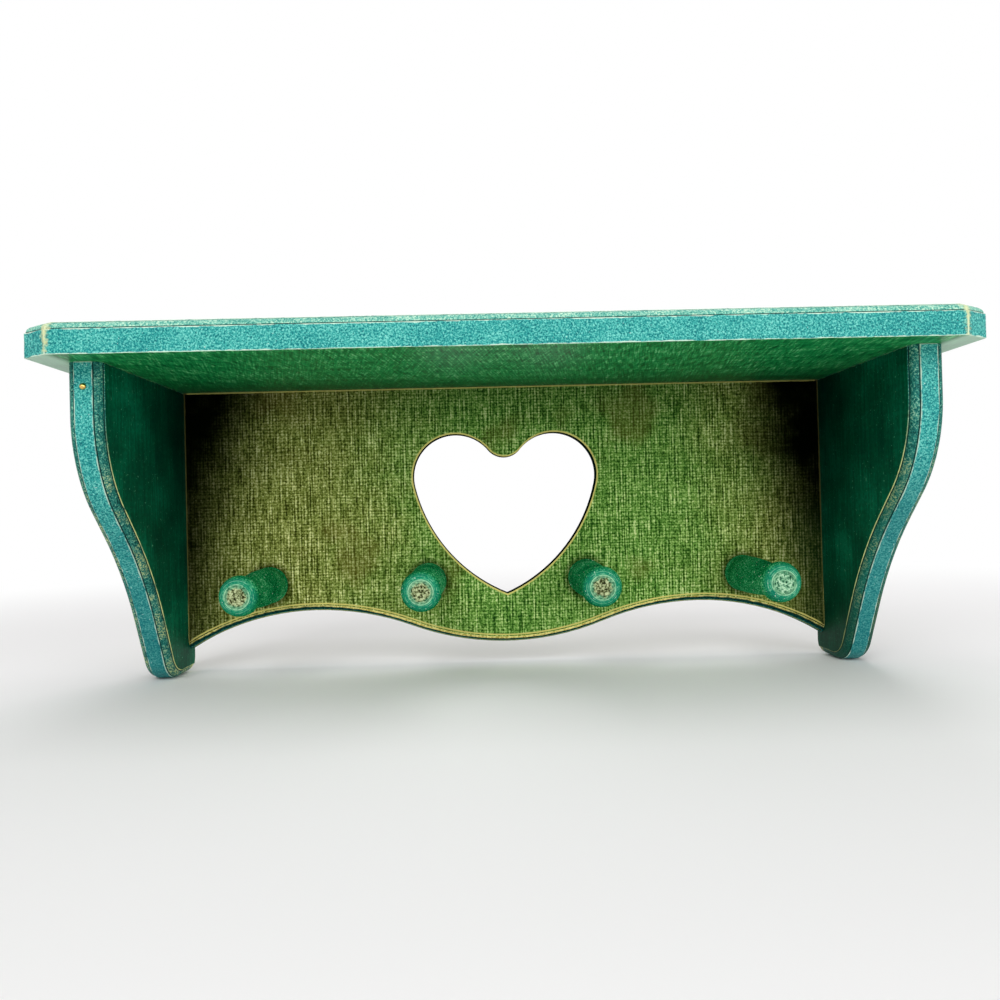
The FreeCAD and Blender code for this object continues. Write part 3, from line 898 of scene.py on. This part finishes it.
def tarnished(paint, colour, roughness):
    """Metal with a slightly uneven tarnish."""
    tarnish = paint.noise(500)
    dark = [value * 0.55 for value in colour]
    paint.put(paint.shader.inputs["Metallic"], 1)
    paint.colour = paint.mix(paint.fade(tarnish, 0.35, 0.6), dark, colour)
    paint.close(paint.fade(tarnish, 0.3, 0.7, roughness), tarnish, 0.0001, 0.3)


def polished_brass(paint, shelf):
    """Bright yellow metal of the small pin."""
    tarnished(paint, shelf.paints.brass, 0.3)


def zinc_plate(paint, shelf):
    """Dull grey plating of the steel pieces."""
    tarnished(paint, shelf.paints.zinc, 0.45)


FINISHES = {
    make.__name__: make
    for make in (
        teal_edge_paint, routed_edge_paint, emerald_side_paint, brushed_board_paint,
        linen_panel_glaze, panel_edge_paint, peg_paint, peg_end_grain, washed_back_wood,
        polished_brass, zinc_plate,
    )
}


def finish_named(name, shelf):
    """The material of that name, made on first use."""
    made = bpy.data.materials.get(name)
    if not made:
        paint = Finish(name)
        FINISHES[name](paint, shelf)
        made = paint.material
    return made


class SHELF_OT_board(Operator):
    """Shelf board with its routed upper edge and cut front corners"""

    bl_idname = "shelf.board"
    bl_label = "Shelf board"

    def execute(self, context):
        shelf = context.scene.shelf
        edge, low, high = shelf.edge, BOARD_LOW, BOARD_HIGH
        corner_x, corner_y = high.x - edge.corner_width, low.y + edge.corner_depth
        right_half = [(corner_x, low.y), (high.x, corner_y), (high.x, high.y + OVERRUN)]
        plan = [(-x, y) for x, y in reversed(right_half)] + right_half
        bm = new_mesh()
        outline = draw_outline(bm, [(Vector((x, y, low.z)), 0) for x, y in plan], UP)
        mould_slab(bm, outline, UP, high.z - low.z, edge)
        trim(bm, high, WALL)
        bmesh.ops.recalc_face_normals(bm, faces=bm.faces[:])
        band = high.z - edge.radius - edge.step
        worn = edge.worn_width

        def is_round(face):
            return face.calc_center_median().z > band and face.normal.z < FLAT

        for x in (corner_x - worn, corner_x + worn, high.x - worn):
            score(bm, is_round, RIGHT * x, RIGHT)
            score(bm, is_round, -RIGHT * x, RIGHT)
        for y in (corner_y - worn, corner_y + worn, high.y - worn):
            score(bm, is_round, WALL * y, WALL)
        sides = [face for face in cut_edges(bm, UP, low.z, band) if face.normal.y < FACING]
        wear(bm, edge, outermost(bm, UP) + outermost(bm, -UP) + sides)
        self.drill(bm, edge.step)

        def zone(face):
            if face.normal.y > FACING:
                return 3
            if face.normal.z < -0.75 or face.normal.z > FLAT:  # the lower arris is green too
                return 1
            return 2 if face.calc_center_median().z > band + edge.softening else 0

        finish_piece(
            bm, "painted_board", "shelf_board", "painted_wood", zone, shelf,
            "teal_edge_paint", "brushed_board_paint", "routed_edge_paint", "washed_back_wood",
        )
        return {"FINISHED"}

    def drill(self, bm, rim):
        """Wells for the plugs and the nails' heads in the board's top."""
        bores = []
        for side in SIDES:
            low, high = box_of("shelf_plugs_" + side)
            radius = (high.x - low.x) / 2
            for y in row(low.y, high.y, radius, 2):
                bores.append(((low.x + high.x) / 2, y, radius, high.z - low.z))
        low, high = box_of("shelf_nails")
        radius = (high.y - low.y) / 2
        for x in row(low.x, high.x, radius, 3):
            bores.append((x, (low.y + high.y) / 2, radius, radius))
        loops = [
            ring(bm, Vector((x, y, high.z)), UP, radius * PLUG_FIT + rim)
            for x, y, radius, _ in bores
        ]
        for disc, (*_, depth) in zip(part_off(bm, face_towards(bm, UP), loops), bores):
            sink(bm, disc, rim, -UP * depth)


class SHELF_OT_brackets(Operator):
    """Both side brackets with their curved, routed fronts"""

    bl_idname = "shelf.brackets"
    bl_label = "Brackets"

    def execute(self, context):
        for side in SIDES:
            self.make(context.scene.shelf, side)
        return {"FINISHED"}

    def make(self, shelf, side):
        """One bracket, moulded to half its thickness and then mirrored."""
        edge = shelf.edge
        low, high = box_of("bracket_" + side)
        half, centre = (high.x - low.x) / 2, (low.x + high.x) / 2
        bm = new_mesh()
        outline = self.draw_profile(bm, shelf.bracket, low, high)
        mould_slab(bm, outline, RIGHT, half, edge)
        bmesh.ops.delete(bm, geom=[face_towards(bm, -RIGHT)], context="FACES_ONLY")
        geometry = bm.verts[:] + bm.edges[:] + bm.faces[:]
        bmesh.ops.mirror(bm, geom=geometry, merge_dist=NEAR, axis="X")
        trim(bm, high, UP)
        trim(bm, high, WALL)
        self.round_heel(bm, shelf.bracket.heel_radius, low, high)
        bmesh.ops.translate(bm, verts=bm.verts[:], vec=RIGHT * centre)
        bmesh.ops.recalc_face_normals(bm, faces=bm.faces[:])
        band = half - edge.radius - edge.step

        def is_round(face):
            across = abs(face.calc_center_median().x - centre)
            return across > band and abs(face.normal.x) < FLAT

        score(bm, is_round, high - UP * edge.worn_width, UP)
        strips = cut_edges(bm, RIGHT, centre - band, centre + band)
        wear(bm, edge, outermost(bm, RIGHT) + outermost(bm, -RIGHT) + strips)
        self.recess(bm, side, edge.step)
        self.drill(bm, side, edge.step)

        def zone(face):
            across = abs(face.calc_center_median().x - centre)
            if face.normal.y > FACING:
                return 3
            if abs(face.normal.x) > FLAT and across > half - edge.softening:
                return 1
            return 0 if across < band + edge.softening else 2

        finish_piece(
            bm, "painted_bracket_" + side, "bracket_" + side, "painted_wood", zone, shelf,
            "teal_edge_paint", "emerald_side_paint", "routed_edge_paint", "washed_back_wood",
        )

    def draw_profile(self, bm, shape, low, high):
        """Outline of a bracket in its middle plane, run past its top and its back."""
        reach, height = high.y - low.y, high.z - low.z
        top, back = high.z + OVERRUN, high.y + OVERRUN
        toe = high.y - reach * shape.toe_reach_share
        waist = high.y - reach * shape.waist_reach_share, high.z - height * shape.waist_drop_share
        shoulder = high.z - height * shape.shoulder_drop_share
        corners = (
            (back, low.z, 0),
            (toe, low.z, shape.toe_radius),
            (*waist, shape.waist_radius),
            (low.y, shoulder, shape.shoulder_radius),
            (low.y, top, 0),
            (back, top, 0),
        )
        return draw_outline(bm, [(Vector((0, y, z)), radius) for y, z, radius in corners], RIGHT)

    def round_heel(self, bm, radius, low, high):
        """Rounds the foot's back corner by short flat cuts."""
        heel = Vector((0, high.y - radius, low.z + radius))
        for step in range(1, ROUND_SEGMENTS + 1):
            angle = math.pi / 2 * step / (ROUND_SEGMENTS + 1)
            way = WALL * math.sin(angle) - UP * math.cos(angle)
            trim(bm, heel + way * radius, way)

    def recess(self, bm, side, rim):
        """Seat for the hanging plate in the bracket's back edge, and the pocket behind it."""
        low, high = box_of("hanging_plate_" + side)
        centre = Vector(((low.x + high.x) / 2, high.y, 0))
        seat_radius = (high.x - low.x) / 2 * PLATE_FIT
        seat = self.slot(bm, centre, seat_radius + rim, low.z - rim, high.z + rim)
        floor = part_off(bm, face_towards(bm, WALL), [seat])[0]
        floor = sink(bm, floor, rim, -WALL * (high.y - low.y))
        centre.y = low.y
        radius = seat_radius * POCKET_SHARE + rim
        pocket = self.slot(bm, centre, radius, -radius, radius + POCKET_DEPTH)
        sink(bm, part_off(bm, floor, [pocket])[0], rim, -WALL * POCKET_DEPTH)

    def slot(self, bm, centre, radius, low, high):
        """Upright slot with round ends on the plane through the centre."""
        before = set(bm.edges)
        bottom = Vector((centre.x, centre.y, low + radius))
        top = Vector((centre.x, centre.y, high - radius))
        start = bm.verts.new(bottom - RIGHT * radius)
        last = turn_about(bm, start, bottom, WALL, -math.pi)
        last = turn_about(bm, run_to(bm, last, top + RIGHT * radius), top, WALL, -math.pi)
        bm.edges.new((last, start))
        return [line for line in bm.edges if line not in before]

    def drill(self, bm, side, rim):
        """Wells for the nails' heads in the bracket's outer face."""
        out = -RIGHT if side == "left" else RIGHT
        low, high = box_of("panel_nails_" + side)
        radius = (high.y - low.y) / 2
        face = face_towards(bm, out)
        x, y = face.calc_center_median().x, (low.y + high.y) / 2
        loops = [
            ring(bm, Vector((x, y, z)), RIGHT, radius * NAIL_FIT + rim)
            for z in row(low.z, high.z, radius, 3)
        ]
        for disc in part_off(bm, face, loops):
            sink(bm, disc, rim, -out * radius)


class SHELF_OT_back_panel(Operator):
    """Back panel with its scalloped lower edge and the heart"""

    bl_idname = "shelf.back_panel"
    bl_label = "Back panel"

    def execute(self, context):
        shelf = context.scene.shelf
        edge, low, high = shelf.edge, PANEL_LOW, PANEL_HIGH
        bm = new_mesh()
        outline = self.draw_scallops(bm, shelf.panel)
        mould_slab(bm, outline, -WALL, high.y - low.y, edge)
        trim(bm, high, UP)
        trim(bm, high, RIGHT)
        trim(bm, low, -RIGHT)
        bmesh.ops.recalc_face_normals(bm, faces=bm.faces[:])
        band = low.y + edge.radius + edge.step

        def is_round(face):
            flat = abs(face.normal.y) > FLAT or face.normal.z > 0.2
            return face.calc_center_median().y < band and not flat

        for place in (low, high):
            score(bm, is_round, place * (1 - edge.worn_width / high.x), RIGHT)
        strips = cut_edges(bm, -WALL, -high.y, -band)
        wear(bm, edge, outermost(bm, -WALL) + outermost(bm, WALL) + strips)
        self.open_up(bm, shelf)

        def zone(face):
            if face.normal.y < -FLAT:
                return 0
            return 2 if face.normal.y > FACING else 1

        finish_piece(
            bm, "glazed_panel", "back_panel", "painted_panel", zone, shelf,
            "linen_panel_glaze", "panel_edge_paint", "washed_back_wood",
        )
        return {"FINISHED"}

    def open_up(self, bm, shelf):
        """Saws the heart out and sinks wells about the tenons' ends, in the panel's back."""
        edge = shelf.edge
        tenons = []
        for number in range(1, 5):
            centre = peg_centre(number)
            centre.y = PANEL_HIGH.y
            tenons.append(ring(bm, centre, WALL, shelf.peg.tenon * TENON_FIT + edge.step))
        arrises, saw_cuts = [], []
        for out, y, holes in ((-WALL, PANEL_LOW.y, []), (WALL, PANEL_HIGH.y, tenons)):
            heart = self.draw_heart(bm, shelf.panel, y, edge.worn_width)
            heart, *discs = part_off(bm, face_towards(bm, out), [heart, *holes])
            bmesh.ops.inset_region(
                bm, faces=[heart], thickness=edge.worn_width, use_even_offset=True
            )
            arrises += heart.edges
            heart = raise_face(bm, heart, -out * edge.worn_width)
            saw_cuts += heart.edges
            bmesh.ops.delete(bm, geom=[heart], context="FACES_ONLY")
            for disc in discs:
                sink(bm, disc, edge.step, -out * shelf.peg.groove)
        bmesh.ops.bridge_loops(bm, edges=saw_cuts)
        soften(bm, edge, arrises)

    def draw_scallops(self, bm, shape):
        """Outline of the panel's back face, run past its ends and its top."""
        y, foot, rise = PANEL_HIGH.y, PANEL_LOW.z, shape.arch_rise
        crown = PANEL_HIGH.x - shape.arch_to_bracket
        outer = arc_radius(shape.arch_to_bracket, rise)
        inner = arc_radius(crown, rise) / 2
        half_turn = math.asin(crown / 2 / inner)
        past = math.asin((shape.arch_to_bracket + OVERRUN) / outer)
        arc_centre = Vector((-crown, y, foot + rise - outer))
        start = bm.verts.new(arc_centre + Vector((-math.sin(past), 0, math.cos(past))) * outer)
        last = start
        for x, z, turn in (
            (-crown, foot + rise - outer, past),
            (-crown, foot + rise - inner, half_turn),
            (0, foot + inner, -2 * half_turn),
            (crown, foot + rise - inner, half_turn),
            (crown, foot + rise - outer, past),
        ):
            last = turn_about(bm, last, Vector((x, y, z)), WALL, turn)
        top = PANEL_HIGH.z + OVERRUN
        last = run_to(bm, last, (last.co.x, y, top))
        last = run_to(bm, last, (start.co.x, y, top))
        bm.edges.new((last, start))
        return bm.edges[:]

    def draw_heart(self, bm, shape, y, margin):
        """The heart's outline with a margin: notch, two lobes, two flanks and a tip."""
        lobe_radius = shape.heart_width * shape.lobe_share
        notch_radius = shape.heart_width * shape.notch_share
        lobe_z = PANEL_HIGH.z - shape.heart_top - lobe_radius
        lobe = Vector((shape.heart_width / 2 - lobe_radius, y, lobe_z))
        notch_rise = math.sqrt((lobe_radius + notch_radius) ** 2 - lobe.x ** 2)
        notch = Vector((0, y, lobe_z + notch_rise))
        tip = Vector((0, y, PANEL_LOW.z + shape.heart_bottom))
        reach = shape.flank_radius - lobe_radius
        span = tip - lobe
        along = (reach ** 2 - shape.flank_radius ** 2 + span.length_squared) / (2 * span.length)
        way = span.normalized()
        aside = way.cross(WALL) * math.sqrt(reach ** 2 - along ** 2)
        flank = lobe + way * along - aside * math.copysign(1, aside.x)
        tip.z = flank.z - math.sqrt((shape.flank_radius + margin) ** 2 - flank.x ** 2)
        touch = (lobe - flank).normalized()
        to_notch = (notch - lobe).normalized()
        over = to_notch.angle(touch)
        if to_notch.cross(touch).dot(WALL) < 0:
            over = 2 * math.pi - over
        before = set(bm.edges)
        last = bm.verts.new(notch - UP * (notch_radius - margin))
        last = turn_about(bm, last, notch, WALL, -to_notch.angle(UP))
        last = turn_about(bm, last, lobe, WALL, over)
        turn_about(bm, last, flank, WALL, touch.angle(tip - flank))
        half = [line for line in bm.edges if line not in before]
        geometry = half + list({vert for line in half for vert in line.verts})
        bmesh.ops.mirror(bm, geom=geometry, merge_dist=NEAR, axis="X")
        return [line for line in bm.edges if line not in before]


class SHELF_OT_pegs(Operator):
    """Four turned pegs with rough tips"""

    bl_idname = "shelf.pegs"
    bl_label = "Pegs"

    def execute(self, context):
        for number in range(1, 5):
            self.make(context.scene.shelf, number)
        return {"FINISHED"}

    def make(self, shelf, number):
        """One peg, turned about its axis."""
        low, high = box_of("peg_%d" % number)
        centre = peg_centre(number)
        centre.y = low.y
        bm = new_mesh()
        self.draw_profile(bm, shelf.peg, centre, high.y)
        bmesh.ops.spin(
            bm, geom=bm.verts[:] + bm.edges[:], cent=centre, axis=WALL,
            angle=2 * math.pi, steps=PEG_SEGMENTS, use_merge=True,
        )
        bmesh.ops.remove_doubles(bm, verts=bm.verts[:], dist=WELD)
        bmesh.ops.recalc_face_normals(bm, faces=bm.faces[:])
        tips = [face for face in bm.faces if face.calc_center_median().y < low.y + NEAR]
        bmesh.ops.inset_region(bm, faces=tips, thickness=TIP_RIM, use_even_offset=True)
        at_rim = {
            vert for vert in bm.verts
            if vert.co.y < low.y + NEAR and (vert.co - centre).length > shelf.peg.tip - NEAR
        }
        rim = [line for line in bm.edges if at_rim.issuperset(line.verts)]
        mark(bm, [min(bm.verts, key=lambda vert: (vert.co - centre).length)], "crevice")
        soften(bm, shelf.edge, rim)

        def zone(face):
            y = face.calc_center_median().y
            if face.normal.y > FLAT and y > high.y - NEAR:
                return 2
            return 1 if face.normal.y < -FLAT and y < low.y + NEAR else 0

        finish_piece(
            bm, "turned_peg_%d" % number, "peg_%d" % number, "painted_peg", zone, shelf,
            "peg_paint", "peg_end_grain", "washed_back_wood",
        )

    def draw_profile(self, bm, shape, tip, back):
        """Half outline of a peg, from its tenon's end to its tip."""

        def at(radius, distance):
            return Vector((tip.x + radius, PANEL_LOW.y - distance, tip.z))

        length = PANEL_LOW.y - tip.y
        tenon_end = PANEL_LOW.y - back
        head_at = length - shape.head_length
        neck_at = head_at - shape.flare
        bead_edge = shape.bead_length - shape.bead_round
        body = at(shape.body, shape.bead_length + shape.groove)
        neck = at(shape.neck, neck_at)
        half_chord = (neck - body) / 2
        belly_radius = arc_radius(half_chord.length, shape.belly)
        inward = half_chord.cross(UP).normalized()
        belly = body + half_chord + inward * (belly_radius - shape.belly)
        flare_radius = arc_radius(shape.flare, shape.head - shape.neck)
        dome_radius = arc_radius(shape.head_length, shape.head - shape.tip)
        last = bm.verts.new(at(0, tenon_end))
        for radius, distance in (
            (shape.tenon, tenon_end), (shape.tenon, 0), (shape.bead, 0), (shape.bead, bead_edge)
        ):
            last = run_to(bm, last, at(radius, distance))
        last = turn_about(bm, last, at(shape.bead - shape.bead_round, bead_edge), UP, -math.pi / 2)
        last = run_to(bm, last, body)
        for centre, turn in (
            (belly, -2 * math.asin(half_chord.length / belly_radius)),
            (at(shape.neck + flare_radius, neck_at), math.asin(shape.flare / flare_radius)),
            (at(shape.head - dome_radius, head_at), -math.asin(shape.head_length / dome_radius)),
        ):
            last = turn_about(bm, last, centre, UP, turn)
        run_to(bm, last, tip)


class SHELF_OT_fasteners(Operator):
    """Finishes of the pin, plates, plugs, nails and screws"""

    bl_idname = "shelf.fasteners"
    bl_label = "Fasteners"

    def execute(self, context):
        finishes = {"brass_pin": "polished_brass", "shelf_nails": "brushed_board_paint"}
        for side in SIDES:
            finishes["shelf_plugs_" + side] = "brushed_board_paint"
            for steel in ("panel_nails_", "shelf_screws_", "plate_screws_", "hanging_plate_"):
                finishes[steel + side] = "zinc_plate"
        for node, finish in finishes.items():
            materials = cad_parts[node].data.materials
            for index in range(len(materials)):
                materials[index] = finish_named(finish, context.scene.shelf)
        return {"FINISHED"}


class SHELF_OT_stage(Operator):
    """Pale floor, soft light and the camera"""

    bl_idname = "shelf.stage"
    bl_label = "Stage"

    def execute(self, context):
        stage = context.scene.shelf.stage
        self.floor(stage.floor, CAD_BOUNDS[0][2])
        self.light("key", (-0.5, -1.5, 1.0), 1.0, 14)
        self.light("fill", (0.8, -1.5, 0.4), 1.2, 10)
        self.light("top", (0.0, -0.3, 1.6), 1.2, 8.5)
        self.light("back", (0.3, 1.5, 0.9), 1.2, 12)
        self.world(context)
        self.camera(context, stage)
        context.scene.view_settings.view_transform = "Standard"
        return {"FINISHED"}

    def floor(self, colour, height):
        """Wide pale floor under the brackets' feet."""
        bm = bmesh.new()
        matrix = Matrix.Translation((0, 0, height))
        bmesh.ops.create_grid(bm, x_segments=8, y_segments=8, size=6, matrix=matrix)
        mesh = bpy.data.meshes.new("floor")
        bm.to_mesh(mesh)
        bm.free()
        floor = bpy.data.objects.new("floor", mesh)
        bpy.context.collection.objects.link(floor)
        mesh.materials.append(self.floor_finish(colour))

    def floor_finish(self, colour):
        """Matt floor that fades to white at a distance, where it is seen directly."""
        paint = Finish("pale_floor")
        paint.colour = colour
        paint.close(0.9)
        distance = paint.add("ShaderNodeVectorMath", {0: paint.place}, operation="LENGTH")
        far = paint.fade(distance.outputs["Value"], 0.35, 1.1)
        white = paint.add("ShaderNodeEmission", {"Color": (1, 1, 1), "Strength": 1.0})
        shaders = {1: paint.shader.outputs[0], 2: white.outputs[0]}
        inputs = {0: paint.times(far, paint.seen_directly()), **shaders}
        mixed = paint.add("ShaderNodeMixShader", inputs)
        paint.put(paint.nodes["Material Output"].inputs["Surface"], mixed.outputs[0])
        return paint.material

    def light(self, name, place, size, power):
        """Square soft light that looks at the shelf."""
        lamp = bpy.data.lights.new(name, "AREA")
        lamp.size = size
        lamp.energy = power
        source = bpy.data.objects.new(name, lamp)
        source.location = place
        source.rotation_euler = (LIT_PLACE - Vector(place)).to_track_quat("-Z", "Y").to_euler()
        bpy.context.collection.objects.link(source)

    def world(self, context):
        """Even white surroundings, dimmer as a light than to the camera."""
        world = bpy.data.worlds.new("soft_surroundings")
        tree = Nodes(world)
        inputs = {"Value": tree.seen_directly(), "To Min": 0.3, "To Max": 1.0}
        strength = tree.add("ShaderNodeMapRange", inputs).outputs[0]
        background = tree.nodes["Background"].inputs
        tree.put(background["Color"], (1, 1, 1))
        tree.put(background["Strength"], strength)
        context.scene.world = world

    def camera(self, context, stage):
        """Camera at the photograph's angle."""
        lens = bpy.data.cameras.new("view")
        lens.sensor_width = 36
        lens.lens = stage.focal_length
        lens.shift_x, lens.shift_y = stage.lens_shift
        lens.clip_start = 0.01
        camera = bpy.data.objects.new("view", lens)
        camera.location = stage.camera_place
        camera.rotation_euler = Euler(stage.camera_turn)
        context.collection.objects.link(camera)
        context.scene.camera = camera


class ShelfSettings(PropertyGroup):
    """All settings of the shelf."""

    edge: PointerProperty(type=ShelfEdgeSizes, name="Edges", description="Routed and worn edges")
    bracket: PointerProperty(type=ShelfBracketSizes, name="Brackets", description="Outline")
    panel: PointerProperty(type=ShelfPanelSizes, name="Panel", description="Scallops and heart")
    peg: PointerProperty(type=ShelfPegSizes, name="Pegs", description="Pegs' profile")
    paints: PointerProperty(type=ShelfPaints, name="Paints", description="Colours")
    stage: PointerProperty(type=ShelfStage, name="Stage", description="Camera and floor")


OPERATORS = (
    SHELF_OT_board,
    SHELF_OT_brackets,
    SHELF_OT_back_panel,
    SHELF_OT_pegs,
    SHELF_OT_fasteners,
    SHELF_OT_stage,
)


class SHELF_PT_sidebar(Panel):
    """Lists the shelf's pieces and settings"""

    bl_label = "Wall shelf with pegs"
    bl_idname = "SHELF_PT_sidebar"
    bl_space_type = "VIEW_3D"
    bl_region_type = "UI"
    bl_category = "Shelf"

    def draw(self, context):
        for operator in OPERATORS:
            self.layout.operator(operator.bl_idname)
        shelf = context.scene.shelf
        for name in shelf.__annotations__:
            box = self.layout.box()
            group = getattr(shelf, name)
            for setting in group.__annotations__:
                box.prop(group, setting)


CLASSES = (
    ShelfEdgeSizes,
    ShelfBracketSizes,
    ShelfPanelSizes,
    ShelfPegSizes,
    ShelfPaints,
    ShelfStage,
    ShelfSettings,
    *OPERATORS,
    SHELF_PT_sidebar,
)


def register():
    for item in CLASSES:
        bpy.utils.register_class(item)
    bpy.types.Scene.shelf = PointerProperty(type=ShelfSettings)


def unregister():
    del bpy.types.Scene.shelf
    for item in reversed(CLASSES):
        bpy.utils.unregister_class(item)


def main():
    """Makes the pieces and the stage."""
    register()
    for operator in OPERATORS:
        group, name = operator.bl_idname.split(".")
        getattr(getattr(bpy.ops, group), name)()


if __name__ == "__main__":
    main()
